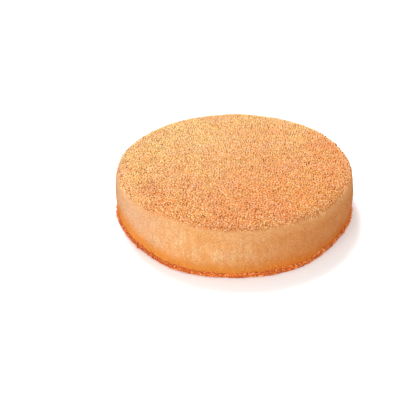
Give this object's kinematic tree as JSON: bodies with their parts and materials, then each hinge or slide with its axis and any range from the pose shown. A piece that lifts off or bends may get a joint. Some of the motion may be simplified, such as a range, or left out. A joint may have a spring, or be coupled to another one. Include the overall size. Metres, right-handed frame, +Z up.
{
  "type": "biscuit cake",
  "caption": "Whole round biscuit cake with a flat top and a pressed round shoulder, coated all over in golden biscuit crumbs, with a low crumb skirt round the foot.",
  "frame": {"origin": "middle of the flat underside, on the surface the cake stands on", "axes": "+Z up along the cake's axis, -Y towards the viewer"},
  "size_m": [0.2616, 0.2612, 0.0546],
  "materials": {
    "crumb_coat": "matte, crumbly, golden biscuit"
  },
  "bodies": {
    "root": {"cake": "crumb_coat"}
  },
  "joints": []
}
